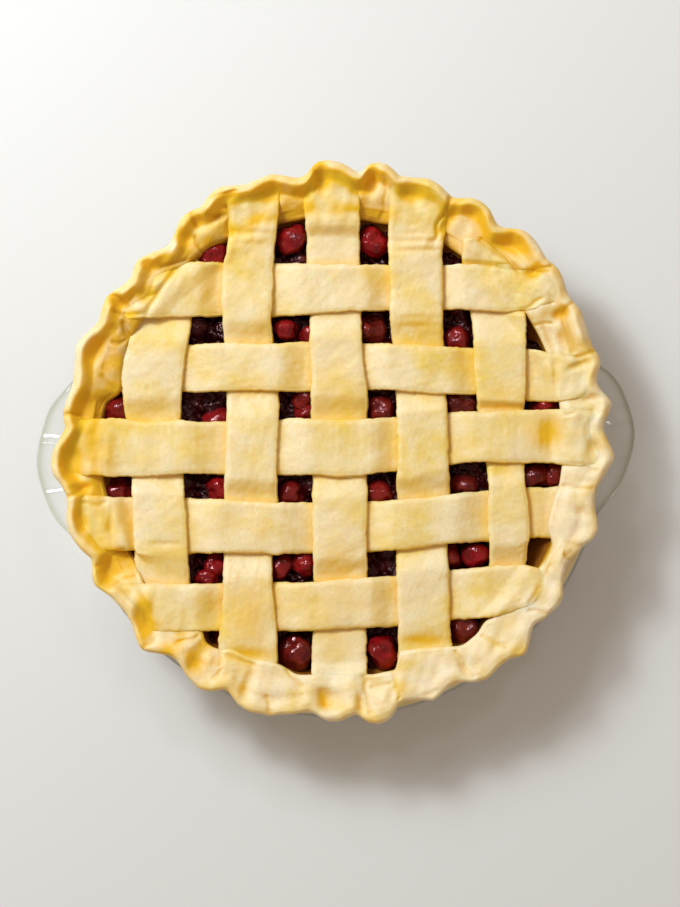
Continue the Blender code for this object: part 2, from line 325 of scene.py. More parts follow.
rim = {
    # the fluted outline: angle and radius, out along each flute and back into the notch after it
    "outline": (
        (-3.5, 127), (-2, 129), (-0.5, 129), (1.2, 127.2), (2.6, 125.8), (4.5, 124.4), (6.2, 125.4),
        (8, 128), (9.8, 130), (11.2, 128.6), (12.8, 126.2), (14.5, 125), (16.2, 126), (17.8, 128.8),
        (19.5, 129.7), (22, 128.5), (24.5, 128.6), (27, 129.8), (30, 130.6), (32, 129.9), (33.6, 129.5),
        (35.2, 130.3), (37, 132), (39, 133), (41, 132.6), (42.3, 131.8), (44, 132.8), (46, 134),
        (48.5, 134.5), (50.3, 133.4), (51.8, 131), (53.2, 129.1), (54.4, 128.6), (55.6, 129.8),
        (57.4, 132.4), (59.6, 133.6), (61.6, 133), (63.3, 131), (65.1, 129), (67, 130.4), (69, 132.3),
        (71, 133), (73, 132.2), (75.2, 131), (77, 130.6), (78.4, 132.8), (80, 134.8), (82, 134.9),
        (83.6, 133.2), (84.5, 130), (85.4, 129.2), (87, 131), (89, 133.4), (91.5, 134.7), (93.6, 134.2),
        (94.8, 131.9), (96, 128.6), (97.5, 127.4), (99.2, 128.2), (101, 129.9), (103.2, 131.4),
        (105.4, 131), (108.5, 130.2), (111, 131.4), (113.4, 133.4), (115.4, 132.8), (117, 131),
        (119, 128.9), (121.4, 129.9), (123.4, 129.6), (125.2, 127.4), (127, 124.6), (129, 122.9),
        (131, 123.6), (133, 125.3), (136, 127.6), (138, 126.2), (140, 124.1), (142, 124.7), (144, 126.6),
        (146.2, 128.1), (148.6, 126.8), (151, 125.1), (153.4, 126.3), (156, 128.8), (158.2, 129.9),
        (160.4, 128.2), (163, 126.6), (166, 125.5), (169, 126.6), (171.8, 127.7), (173.4, 126.9),
        (175.1, 125.6), (177.4, 127.8), (180, 131), (183, 132.4), (185, 131.2), (187, 128.1),
        (189.3, 126.2), (191.5, 127), (194.4, 128.7), (197, 129.2), (199.4, 127.8), (201.6, 126),
        (203.8, 123.6), (206, 125.3), (207.8, 127.3), (209.3, 127.8), (211, 125.9), (213, 124),
        (217.5, 122.8), (220.5, 124), (223, 126.5), (225.4, 128.6), (227, 127.4), (229, 124.3),
        (231, 121.9), (232.3, 121.4), (234, 122.5), (236.4, 124.9), (239.8, 127.2), (242, 126),
        (244, 123.2), (245.4, 121.3), (247, 123.5), (249, 126.1), (251.5, 127.3), (254, 126.7),
        (256, 126.6), (258, 124.8), (261, 123.3), (263.8, 121.2), (265.4, 121.9), (266.8, 123.8),
        (268.6, 125.5), (271, 125.1), (273, 123.4), (274.4, 122.4), (275.4, 124), (276.8, 126.7),
        (278.6, 127.9), (280.2, 127.9), (281.6, 126.4), (282.8, 124), (284, 121), (285.6, 120.2),
        (288.4, 121.5), (291.4, 124.2), (293.4, 122.8), (296, 120.9), (298.6, 121.9), (301, 125),
        (303.6, 126.8), (306, 125.7), (308.8, 125.2), (310.6, 126.1), (312, 128.2), (313.4, 128.5),
        (315, 126.4), (317, 123.3), (319, 122.1), (320.8, 123.8), (322.6, 124.4), (325.4, 125.8),
        (327.4, 125), (329.2, 122.4), (331, 120.4), (333.6, 119.2), (335, 119.8), (336.6, 121.3),
        (339, 123), (341, 125.8), (342.9, 126.9), (345, 125.7), (347, 123.4), (349.6, 121.8),
        (351.4, 121.4), (353, 123), (354.8, 125.2),
    ),
    # inner edge of the rim's dough
    "innerEdge": (
        (0, 105.5), (10, 105.5), (14, 106), (18, 107), (24, 107.5), (30, 108.3), (36, 108.5), (44, 108),
        (52, 109), (57, 107.5), (60, 108), (68, 109), (76, 108), (80, 107.5), (84, 108), (92, 109),
        (97, 109), (100, 108.5), (107, 109), (115, 110), (118, 111.2), (122, 111.8), (126, 111),
        (134, 109.5), (146, 108.6), (156, 107.6), (160, 105.2), (164, 103.4), (166, 104.4),
        (167.6, 108.2), (170, 109), (176, 109.5), (188, 108.6), (192, 108), (200, 108), (204.5, 106.8),
        (208.5, 105.2), (212, 106.8), (216, 109), (226, 109), (230.5, 105.5), (233.4, 103.2),
        (235.6, 107.4), (239, 107.2), (240.4, 105.8), (242.4, 103.2), (248.8, 103.6), (252, 102.2),
        (255.4, 102.2), (258, 103.8), (260, 105.2), (263.4, 104.4), (266, 103.2), (276, 103.4),
        (279, 105), (282, 104.8), (285.9, 105.2), (286.9, 97.2), (290, 98), (294, 99.6), (298, 102.6),
        (301, 105.6), (303, 107.6), (308, 107), (311, 104.8), (313, 105.6), (317, 107), (323, 107.6),
        (330, 108.6), (331.5, 109.4), (337, 109.6), (338.5, 106), (341, 103.6), (348, 103.4),
        (351, 104.6), (355, 104.8),
    ),
    # heights along the crest, half way in and at the inner edge
    "heights": (
        (0, 54, 52, 50.8), (10, 54, 52.2, 50.8), (20, 54.2, 52, 50.5), (30, 54.8, 52, 50.2),
        (38, 55.2, 52.6, 50.6), (46, 55.8, 51.4, 50), (54, 56, 50.4, 48.6), (60, 56.2, 49.8, 45.6),
        (64, 56.2, 49.6, 46), (72, 56.2, 50.6, 49), (79, 56.3, 50, 45), (82, 56.3, 49.8, 44.6),
        (86, 56.4, 50.4, 47.5), (92, 56.4, 51, 49), (98, 56.4, 49.8, 46), (102, 56.4, 49.5, 44.6),
        (107, 56.4, 50, 46), (112, 56.4, 50.8, 48), (118, 56.4, 50.6, 49.4), (130, 55.8, 50.9, 50.7),
        (140, 55.6, 51, 50.9), (150, 55.6, 50.9, 50.9), (160, 55.6, 50.8, 50.4), (164, 55.6, 50.4, 48.8),
        (167, 55.7, 49.8, 44.6), (173, 55.8, 49.6, 44.2), (176, 55.8, 50.2, 47), (182, 55.6, 51, 49),
        (187.5, 56, 50, 45.5), (190.5, 56, 50, 45.5), (194, 55.8, 51, 49), (202, 55.6, 50.8, 49),
        (205.5, 55.4, 49, 44.4), (208.5, 55.4, 48.4, 44.2), (212, 55.2, 50, 48), (216, 55, 51.6, 50.2),
        (226, 54.8, 52.2, 50.8), (236, 54.4, 52, 50), (243, 54, 52.2, 51.2), (254, 53.8, 52.4, 51.6),
        (262, 53.8, 52, 50.6), (276, 53.8, 52.2, 50.6), (284, 53.8, 52.4, 51.6), (300, 53.8, 52.4, 51.4),
        (308, 53.8, 52, 50.4), (316, 53.8, 52.6, 51.4), (330, 53.6, 52.4, 51.4), (335, 53.2, 51.4, 49),
        (340, 53.6, 52, 50.6), (350, 53.8, 52, 50.6),
    ),
    # painted shade and light besides, by sector, golden above zero and paler below: angle, on the inner
    # and on the outer half
    "sectorShadeAndLight": (
        (0, -0.3, -0.2), (15, -0.2, -0.3), (30, 0.08, 0.04), (45, -0.12, 0.04), (60, -0.08, 0.06),
        (75, 0.3, -0.08), (90, 0.54, 0.46), (105, 0.5, 0.04), (120, 0.52, 0.04), (135, 0.86, -0.14),
        (150, 0.96, -0.04), (165, 0.6, -0.3), (180, 0.14, 0.14), (195, 0.12, -0.08), (210, 0.16, 0),
        (225, 0.4, 0.42), (240, 0.36, 0.34), (255, -0.34, 0), (270, -0.24, -0.08), (285, -0.4, -0.2),
        (300, -0.42, -0.32), (315, -0.44, -0.2), (330, -0.22, -0.35), (345, -0.28, -0.26),
    ),
    # finger marks and lumps: angle, radius, height, half width across, half length outwards
    "marks": (
        (1, 119.5, -1.4, 3.2, 3), (359, 117, -0.8, 6, 5), (11.6, 120, -1.3, 1.8, 6),
        (19.4, 120, -2, 1.6, 6), (26, 117.5, -1.3, 5, 2.4), (31.3, 122, -2.8, 2.4, 3.4),
        (26.4, 124.4, 1.2, 8, 3.2), (34.6, 116, 0.8, 3.4, 5), (35.4, 112, 0.7, 3, 5),
        (42, 124.5, -2.4, 2.8, 4.6), (49.6, 126.5, -4.6, 6.4, 4.8), (51.5, 122, -1.6, 4, 3),
        (60, 127.5, -3, 4.4, 2.6), (64, 120, -3, 2.6, 8), (58, 118, 0.8, 3, 4.5),
        (73.6, 124, -3.6, 5, 4.6), (82.6, 126.4, -5, 3, 5.6), (85.2, 121.5, -2, 3.2, 3.2),
        (80.6, 115.5, 0.8, 2.6, 5), (93, 126.8, -4, 3, 6), (97.6, 119.5, -2.4, 3.6, 2.6),
        (104.4, 123, -4.2, 4.6, 4.6), (112.5, 127.8, -2.4, 4, 2), (117.4, 121.4, -2, 3, 1.8),
        (121.2, 124.2, -2.4, 3.2, 2.4), (125.6, 121.4, -3.2, 3.4, 4), (135.1, 122.4, -3.6, 2.6, 4.4),
        (132, 119.6, -1.6, 4, 2), (145.6, 123, -3.6, 2.6, 4.4), (143, 118.5, -1.2, 4, 1.8),
        (157, 120.6, -3.8, 6.6, 3.6), (151, 117, -1.4, 2, 2.6), (170.4, 119.4, -3.6, 7, 4.4),
        (182.6, 122.4, -4.6, 8.6, 4.6), (188.4, 120, -2.6, 2.2, 5), (195.5, 122.6, -3, 5.6, 2.4),
        (207.6, 119, -4.6, 5.4, 5.6), (210.2, 123.6, -1.8, 3, 3), (221.6, 119.5, -2.8, 6, 4),
        (225, 125, -0.9, 2.4, 3), (236.6, 119, -2, 3.4, 4.6), (249.4, 115.8, -1.6, 2.8, 8),
        (255.6, 125.4, -0.9, 2.6, 1.8), (268.2, 115.6, -2.6, 4.4, 5.2), (275.6, 118.5, -1.9, 1.8, 5.6),
        (291.5, 121, -0.9, 5, 2), (300.4, 117, -1.5, 1.6, 6), (312.6, 126.6, -1.2, 3.4, 3),
        (317, 116, -0.7, 3, 4), (323.6, 119, -0.9, 2.4, 3.4), (336, 119, -1.4, 2.4, 2.6),
        (346, 117.5, -1.2, 2.6, 4), (353, 119, -0.8, 2, 4), (137.8, 114, 1.2, 5, 2.8),
        (130, 115, 1, 4, 3), (119.6, 116.2, 1.7, 6, 4), (143.6, 113.4, 1.2, 4.4, 3.4),
        (150.6, 115.6, 1, 3.4, 2.8), (155.4, 112, 1.1, 4, 2.8), (161.1, 109.8, 0.9, 5, 3),
        (280.6, 117, 1.7, 3.8, 6), (273.2, 117.5, 0.9, 2.4, 5), (268.6, 122.2, 0.7, 4, 1.8),
        (263.6, 113.6, 0.6, 3, 5), (344, 111, 0.9, 8, 5), (238.4, 112.5, 1.1, 2.6, 3.4),
        (232.8, 112, 1.2, 3, 4), (258, 112, 1, 5, 5), (305, 114, 0.9, 6, 5), (314, 119, 0.9, 5, 4),
        (8, 112, 0.8, 7, 5), (24, 112, 0.7, 3, 3), (355, 113, 0.8, 4, 5), (217.5, 116, 0.9, 5, 4),
        (334.5, 114.5, 0.8, 4, 3), (295, 111, 0.8, 7, 6), (270, 109, 0.6, 8, 3),
    ),
    # narrow creases: angle and radius of both ends, depth, width
    "creases": (
        (115.6, 112, 114.6, 124, 1.7, 0.9), (111.5, 129, 115.4, 130.5, 0.8, 0.8),
        (65.3, 107, 65.6, 129, 1.9, 1), (78.8, 110, 79.6, 127, 0.9, 0.9),
        (172.2, 118, 172.1, 128, 1.8, 0.9), (301.6, 108, 301, 122, 1, 0.8),
        (284.6, 104, 284.2, 118, 0.8, 0.8), (277, 105, 277.2, 122, 1, 1),
        (320.4, 116, 323.4, 125.5, 1, 0.8), (335.6, 116, 334.8, 121, 1.1, 0.8),
        (189.2, 117, 189.4, 127, 1.6, 0.9), (257.4, 104, 261.6, 110, 1, 0.8),
        (254.4, 118, 256.4, 126, 0.8, 0.8), (145.2, 118, 145.1, 128, 1.4, 0.9),
        (42.4, 122, 40.6, 131, 1.4, 0.9), (94.7, 121, 94.4, 131, 1.3, 0.9),
        (121.4, 122, 121.2, 129, 1.4, 0.8), (37, 108, 36.4, 118, 1.2, 0.9),
        (21.2, 119, 21, 128, 1.2, 0.8), (31.8, 124, 32.2, 130, 1.2, 0.8),
        (32.6, 108.5, 30.4, 116, 0.9, 0.8), (226, 121, 225.6, 128.5, 0.9, 0.8),
        (241.8, 113, 239.4, 106, 0.9, 0.8), (230.8, 115, 233.2, 107, 1, 0.8),
        (242.6, 114, 241.8, 119, 0.8, 0.8), (204.8, 108, 205.6, 123, 0.8, 0.9),
        (211.4, 110, 211.2, 122, 0.7, 0.8), (9.8, 106, 9.6, 112, 0.9, 0.8),
        (55.4, 118.4, 51.3, 118.4, 1.4, 1.5), (51.3, 118.4, 48.3, 119.4, 1.7, 1.4),
        (48.3, 119.4, 44.4, 118.6, 1.7, 1.4), (44.4, 118.6, 41.4, 123.4, 1.6, 1.3),
        (41.4, 123.4, 40.2, 128, 1.3, 1.2), (131.6, 112, 136.3, 110.3, 1.3, 1),
        (136.3, 110.3, 139.6, 109.8, 1.5, 1), (139.6, 109.8, 145.3, 107.6, 1.5, 1),
        (141.2, 112.5, 139.4, 110.5, 0.9, 0.9), (147.3, 121, 147.2, 115, 1.5, 1),
        (147.2, 115, 144.7, 109.5, 1.4, 1), (149.2, 114.7, 151.8, 108.5, 1.7, 1.2),
        (154.2, 115, 151.7, 109.2, 1.4, 1), (156.7, 115, 160.2, 114.4, 0.7, 1.4),
        (123.5, 118.3, 123.6, 112, 1.4, 1), (133.8, 117.4, 128.3, 112.4, 1.1, 1),
        (118.2, 124.2, 116, 120.4, 1.7, 1.1), (266.9, 111.8, 268, 117.6, 1.1, 1.6),
        (162.8, 113.6, 164.6, 107, 0.7, 1.2), (31.6, 125, 29.4, 121.2, 1.6, 1.5),
        (29.4, 121.2, 22.8, 119, 1.4, 1.5), (241.6, 107.2, 249.4, 106, 0.7, 1.2),
        (279, 110.8, 283, 110.4, 0.45, 0.9), (31.2, 112, 24.6, 110.4, 0.7, 1.2),
        (322.4, 113.6, 331, 112.2, 0.6, 1.3), (351.2, 104, 351.6, 120, 0.9, 0.9),
        (356.6, 105, 356.2, 121, 0.7, 0.8), (338.4, 116, 338.6, 123, 0.7, 1.3),
        (308.6, 109, 310.4, 120, 0.8, 0.8), (193, 109, 191.6, 120, 0.6, 0.8),
    ),
    "middle": 118.0,
    # how golden the painted shade is in the creases, on the steep inner sides and at the drops, and how
    # golden the crest and the low side are
    "gold": {"crease": 0.48, "steep": 0.90, "drop": 1.05, "crest": (0.12, 0.16), "low": 0.14},
    "creaseBend": 0.7,
    "bumps": ((0.32, 15.0, 3), (0.14, 6.5, 4), (0.03, 2.8, 5)),     # height, size, seed
    "crestInset": 4.4,          # crest behind the outline
    "shelfInset": 9.6,          # foot of the crest's inner side behind the outline
    "outerRound": (4.8, 2.6),   # reach of the outer rounding on the far and on the near side
    "outerDrop": (4.6, 3.6),
    "lipRound": 2.2,
    "skirt": 122.8,             # dough pressed flat on the glass under the flutes
    "steps": 256,
    "section": 24,
    "cuts": 3,
}


def rimOutline(degrees):
    return roundTable(rim["outline"], degrees, 0.5)


def rimHeight(degrees, column):
    return roundTable([(row[0], row[column]) for row in rim["heights"]], degrees, 1.5)


def fingerMarks(degrees, radius):
    total = np.zeros_like(radius)
    for angle, place, height, across, along in rim["marks"]:
        side = turnFrom(degrees, angle) * place
        spread = (np.abs(side) / across) ** 2.4 + (np.abs(radius - place) / along) ** 2.4
        total += height * np.exp(-spread)
    return total


def creaseDepth(degrees, radius):
    total = np.zeros_like(radius)
    bend = rim["creaseBend"] * unevenness(*flatPlace(degrees, radius), 9.0, 6)
    for angleA, radiusA, angleB, radiusB, depth, width in rim["creases"]:
        way = np.array([math.radians(angleB - angleA) * (radiusA + radiusB) / 2.0, radiusB - radiusA])
        side = turnFrom(degrees, angleA) * radius + bend
        share = np.clip((side * way[0] + (radius - radiusA) * way[1]) / (way @ way), 0.0, 1.0)
        gap = np.hypot(side - share * way[0], radius - radiusA - share * way[1])
        total = np.maximum(total, depth * np.exp(-(gap / width) ** 1.6))
    return total


def rimTone(degrees, radius):
    # how golden the dough of the rim is, mostly painted shade: in its pockets and creases, on the crest's
    # steep inner side and at the low lips, with painted shade and light by sector
    inner = roundTable(rim["innerEdge"], degrees)
    inset = rimOutline(degrees) - radius
    x, y = flatPlace(degrees, radius)
    low = smoothStep(0.3, -0.4, y / rim["middle"])
    # painted shade in the pockets of the finger marks
    marked = np.clip(-fingerMarks(degrees, radius) / 3.6, 0.0, 1.0) * blendTo(1.0, 0.75, low)
    # painted shade and painted light by sector
    shadeLightInner, shadeLightOuter = (
        roundTable([(row[0], row[half]) for row in rim["sectorShadeAndLight"]], degrees, 4.0) for half in (1, 2)
    )
    sectorShadeLight = blendTo(shadeLightInner, shadeLightOuter, smoothStep(113.5, 118.5, radius))
    sectorShadeLight = sectorShadeLight * (0.85 + 0.55 * unevenness(x, y, 11.0, 63))
    gold = rim["gold"]
    # painted shade in the creases, on the crest's steep inner side and at the low lips
    creased = gold["crease"] * np.clip(creaseDepth(degrees, radius), 0.0, 1.0)
    steep = np.clip((rimHeight(degrees, 1) - rimHeight(degrees, 2) - 2.0) / 4.0, 0.0, 1.0)
    drop = smoothStep(1.5, 4.5, rimHeight(degrees, 2) - rimHeight(degrees, 3))
    patchy = np.clip(0.78 + 0.40 * unevenness(x, y, 13.0, 62), 0.25, 1.2)
    shaded = gold["steep"] * steep * patchy * hump(inset - 7.4, 3.6)
    shaded = shaded + gold["drop"] * drop * hump(radius - inner, 6.5)
    crest = gold["crest"][0] + gold["crest"][1] * unevenness(x, y, 9.0, 61)
    crest = crest * hump(inset - 1.5, 4.0) * blendTo(1.0, 0.3, low)
    blotches = gold["low"] * np.maximum(0.0, unevenness(x, y, 14.0, 64)) * low
    return marked + creased + shaded + crest + sectorShadeLight + blotches


def rimTop(degrees, radius, shelfLeast=0.0, lipLeast=0.0):
    # height of the rim's upper surface
    inner = roundTable(rim["innerEdge"], degrees)
    outer = rimOutline(degrees)
    crest = rimHeight(degrees, 1)
    shelf = np.maximum(rimHeight(degrees, 2), shelfLeast)
    lip = np.maximum(rimHeight(degrees, 3), lipLeast)
    inset = outer - radius
    shelfWide = np.maximum(outer - rim["shelfInset"] - inner - rim["lipRound"], 1.0)
    inwards = np.clip((inset - rim["shelfInset"]) / shelfWide, 0.0, 1.0)
    behind = smoothStep(rim["crestInset"] - 1.0, rim["shelfInset"], inset)
    height = blendTo(crest, blendTo(shelf, lip, inwards ** 1.2), behind)
    height = height + fingerMarks(degrees, radius) * blendTo(0.35, 1.0, smoothStep(0.5, 4.5, inset))
    height = height - creaseDepth(degrees, radius) * smoothStep(-1.0, 2.0, inset)
    x, y = flatPlace(degrees, radius)
    height = height + unevenSum(x, y, rim["bumps"])
    if lipLeast == 0.0:
        fall = np.clip(1.0 - (radius - inner) / rim["lipRound"], 0.0, 1.0)
        height = height - rim["lipRound"] * (1.0 - np.sqrt(1.0 - fall * fall))
    height = softMax(height, blendTo(30.0, dishTop + 1.8, smoothStep(109.0, 114.0, radius)), 0.8)
    low = smoothStep(0.1, -0.5, y / rim["middle"])
    over = np.clip(1.0 - inset / blendTo(*rim["outerRound"], low), 0.0, 1.0)
    return height - blendTo(*rim["outerDrop"], low) * (1.0 - np.sqrt(np.maximum(0.0, 1.0 - over * over)))


# Lattice

lattice = {
    "thickness": 3.3,
    "cell": 0.85,
    "edgeRound": 1.2,
    "margin": 0.9,              # level run past each edge of a strip that is crossed
    "ragged": ((0.32, 34.0, 0), (0.14, 9.0, 40), (0.09, 3.2, 60)),      # cut edges: amount, size, seed
    "swell": ((0.26, 22.0, 80), (0.07, 7.0, 90), (0.05, 2.6, 70)),      # and the upper side
    "bedded": (51.2, 49.4),     # least height of the rim's shelf and lip under the strips
    # path rows: place along the strip, place of its middle, width
    # ends: how each one ends, and its radius, or for "over" its distance behind the outline
    # "under" dips below the rim, "tucked" keeps its height, "over" is pressed into the rim,
    # "laid" lies on it, "merged" sinks into it
    "down": (
        {"path": (
            (-62, -80.3, 25), (-53, -80.8, 25), (-16, -82.7, 24.6), (14, -84.8, 25.6), (26, -85.3, 27.2),
            (38, -85.5, 29.5), (50, -83.2, 27.6), (62, -80.6, 27), (82, -78, 28),
        ), "ends": (("under", 108), ("tucked", 112))},
        {"path": (
            (-104, -41, 27), (-92, -40.3, 26.6), (-54, -41, 22.8), (-16, -39.4, 25), (20, -38.5, 24),
            (56, -41.2, 23.2), (88, -40.8, 24), (101, -38.4, 21.8), (113, -38.6, 26.5), (125, -39, 28),
        ), "ends": (("tucked", 109), ("over", 2))},
        {"path": (
            (-104, 1.6, 25.5), (-54, 1.9, 25), (-16, 1.6, 25.5), (20, 1.4, 26), (56, 0, 24),
            (97, -1.4, 25), (115, -1.8, 25), (132, -2, 27),
        ), "ends": (("merged", 110), ("over", 1))},
        {"path": (
            (-100, 41.4, 25.5), (-54, 40, 23.7), (-16, 40.5, 24.6), (20, 39.8, 23.2), (56, 37.5, 25),
            (90, 37.3, 24.5), (100, 36.9, 25), (112, 38, 28.5), (124, 40, 30),
        ), "ends": (("tucked", 106), ("over", 1.2))},
        {"path": (
            (-70, 80.3, 18), (-54, 79.9, 17.1), (-33, 80.5, 20), (-12, 79.2, 16.8), (20, 76.9, 22.3),
            (56, 75.7, 25.4), (72, 74, 25), (88, 71, 24), (98, 69, 22),
        ), "ends": (("under", 109), ("laid", 119.2, 5))},
    ),
    "across": (
        {"path": (
            (-86, 74, 26), (-60, 75, 25), (-20, 74.8, 23.6), (20, 76, 21.4), (58, 76, 21.4), (76, 75, 21),
            (88, 74.4, 19.5), (100, 77, 19),
        ), "ends": (("over", 7.5), ("over", 1.6))},
        {"path": (
            (-104, 38, 22), (-60, 38.9, 22.2), (-20, 39.1, 22.7), (20, 39, 22.2), (58, 37, 22.3),
            (93, 35.2, 23.6), (105, 33, 22.4), (118, 36, 19),
        ), "ends": (("under", 112), ("over", 1.8))},
        {"path": (
            (-128, 2, 27), (-104, 1.2, 26.4), (-60, 1.6, 24.5), (-20, 1.4, 26), (20, 1.9, 25.9),
            (58, 6.2, 24.5), (93, 6.7, 23.8), (104, 7, 26), (126, 6, 28),
        ), "ends": (("over", 1.8), ("over", 2))},
        {"path": (
            (-122, -33, 25), (-100, -34, 25.5), (-60, -34.5, 25.4), (-20, -36.3, 23.7), (20, -35, 23.6),
            (58, -31.2, 23.6), (93, -28.5, 23.6), (108, -28, 25),
        ), "ends": (("over", 2), ("under", 108))},
        {"path": (
            (-98, -73, 24), (-60, -72.5, 21.8), (-20, -72.2, 23.1), (20, -70.4, 23.2), (58, -66.9, 23.7),
            (80, -64, 24), (91, -63.2, 20.5), (99, -65, 18), (107, -68, 16),
        ), "ends": (("over", 2.2), ("over", 5.5))},
    ),
    # dents and lumps pressed into the strips: x, y, height, half sizes along x and y
    "dents": (
        (100.5, 8, -2.6, 5.6, 10), (101.5, 34, -1.3, 1.5, 12), (96.5, 34, -0.5, 3, 12),
        (92, 35, -0.3, 1, 9), (37, 93, -0.6, 12, 1.1), (38, 97.5, -0.6, 12, 1.2), (36, 101, -0.4, 9, 1.2),
        (37, 58, -0.35, 11, 1.2), (38, 62, -0.3, 9, 1.2), (-40, 101, -0.8, 11, 1.5),
        (-39, 96, -0.35, 9, 1.3), (-1, 106, -0.5, 12, 1.5), (-79, -43, -0.7, 8, 1.1),
        (-78, -47, 0.4, 7, 2), (-87, 29, -0.5, 1.2, 1.6), (-42, -95, -1, 13, 3),
        (2, -102.4, -0.5, 10, 1.2), (42, -89, -1.4, 12, 4), (98, -30, -0.9, 3.4, 12),
        (93, -58, -0.5, 3, 9), (80, -10, -0.4, 7, 1.4), (-104, -35, -0.6, 1.2, 11),
        (-15, 40, -0.3, 1.6, 7), (12, -72, -0.3, 9, 3), (70, -33, -0.3, 5, 4), (-58, 5, -0.3, 6, 4),
        (0, 62, 0.3, 6, 6), (40, -60, 0.25, 5, 6),
    ),
    # golden patches on the strips, paler below zero, some of them painted shade in the valleys and by the
    # creases at the rim: x, y, amount, half sizes along x and y
    "tones": (
        (-41, -80, 0.5, 10, 15), (1, -50, 0.35, 9, 14), (94, 8, 0.55, 7, 7), (-109, 0, 0.6, 9, 10),
        (-40, 33, 0.42, 9, 10), (39, 60, 0.35, 11, 5), (-60, 73, 0.28, 8, 8), (58, 42, 0.28, 6, 9),
        (76, 26, 0.35, 9, 5), (-1, 29, 0.35, 9, 12), (-18, 40, 0.28, 6, 9), (-40, -34, 0.18, 18, 8),
        (-104, -34, 0.35, 5, 9), (-88, -72, 0.6, 4, 9), (-84, 74, 0.35, 6, 9), (0, -92, 0.15, 11, 6),
        (0, -70, 0.22, 24, 12), (-40, -68, 0.18, 18, 12), (80, -66, 0.24, 18, 12),
        (-42, 40, -0.45, 15, 7), (39, 10, -0.25, 9, 9), (76, 47, -0.25, 8, 10), (-80, 68, -0.3, 12, 8),
        (-80, 0, -0.2, 18, 9), (-80, -35, -0.22, 14, 10), (0, -101, -0.15, 11, 3),
        (-40, -94, 0.45, 12, 2.6), (41, -87.5, 0.55, 12, 2.4), (-74, -46, 0.25, 9, 4),
        (80, -8, 0.3, 8, 4), (36, 96, 0.25, 11, 6), (85, 79, 0.35, 9, 3.5), (-97, 55, 0.4, 2.5, 5),
        (102, 60, 0.25, 6, 4), (-39, 96, 0.2, 10, 6), (-38, 56, 0.22, 9, 5), (92, -30, 0.2, 4, 9),
        (20, 77, 0.15, 14, 6), (-60, 2, 0.15, 10, 8),
    ),
}


def pathValue(strip, along, column):
    rows = np.array(strip["path"], float)
    total = 0.0
    for shift in (-8.0, -4.0, 0.0, 4.0, 8.0):
        total = total + np.interp(along + shift, rows[:, 0], rows[:, column])
    return total / 5.0


def alongAcross(way, x, y):
    return (y, x) if way == "down" else (x, y)


def crossedStrips(way, index):
    # the strips that one strip crosses, and whether it lies on top of each
    if way == "down":
        return [(strip, (index + other) % 2 == 1) for other, strip in enumerate(lattice["across"])]
    return [(strip, (index + other) % 2 == 0) for other, strip in enumerate(lattice["down"])]


def weaveShape(way, index, along, across):
    # height of the upper surface in the weave, and how near it is to the edge of a strip on top of it
    clear = {True: np.full_like(along, 400.0), False: np.full_like(along, 400.0)}
    nearEdge = np.full_like(along, 400.0)
    for strip, over in crossedStrips(way, index):
        outside = np.abs(along - pathValue(strip, across, 1)) - 0.5 * pathValue(strip, across, 2)
        clear[over] = np.minimum(clear[over], np.maximum(outside - lattice["margin"], 0.0))
        if not over:
            nearEdge = np.minimum(nearEdge, np.maximum(outside, 0.0))
    for end, sign in zip(lattice[way][index]["ends"], (-1.0, 1.0)):
        if end[0] == "under":
            away = np.where(along * sign > 0.0, np.maximum(104.0 - np.hypot(along, across), 0.0), 400.0)
            clear[False] = np.minimum(clear[False], away)
    raised = smoothStep(0.0, 1.0, clear[False] / (clear[False] + clear[True] + 0.001))
    low = stripLow + lattice["thickness"]
    return blendTo(low, stripHigh - 0.3, raised), nearEdge


def endReach(strip, along, x, y):
    # how far out the strip reaches, in the direction of each point
    radius, degrees = roundPlace(x, y)
    outline = rimOutline(degrees)
    reach = np.zeros_like(x)
    for end, here in zip(strip["ends"], (along < 0.0, along >= 0.0)):
        if end[0] == "over":
            value = outline - end[1]
        else:
            value = np.full_like(x, float(end[1]))
        if end[0] == "laid":
            value = value - end[2] * smoothStep(55.0, 60.0, degrees)
        reach = np.where(here, value, reach)
    return reach, radius, degrees


def stripDents(x, y):
    total = np.zeros_like(x)
    for dentX, dentY, lift, acrossX, acrossY in lattice["dents"]:
        total += lift * hump(x - dentX, acrossX) * hump(y - dentY, acrossY)
    return total


def stripTop(way, index, along, across):
    # height of a strip's upper surface, over the weave and up the rim
    strip = lattice[way][index]
    x, y = (across, along) if way == "down" else (along, across)
    reach, radius, degrees = endReach(strip, along, x, y)
    height, nearEdge = weaveShape(way, index, along, across)
    onRim = rimTop(degrees, radius, *lattice["bedded"])
    for end, here in zip(strip["ends"], (along < 0.0, along >= 0.0)):
        if end[0] in ("over", "laid"):
            raised = blendTo(1.3, 0.5, smoothStep(112.0, 120.0, radius))
            if end[0] == "over":
                raised = blendTo(raised, -0.8, smoothStep(reach - 9.0, reach - 0.2, radius))
            raised = raised - 1.5 * smoothStep(2.5, 0.0, nearEdge)
            climb = softMax(height, onRim + raised, 1.2)
            climb = blendTo(climb, onRim + raised, smoothStep(106.0, 116.0, radius))
            height = np.where(here, blendTo(height, climb, smoothStep(99.0, 107.0, radius)), height)
        if end[0] == "merged":
            height = np.where(here, blendTo(height, onRim - 0.35, smoothStep(98.0, 105.0, radius)), height)
    return height + stripDents(x, y), reach, nearEdge


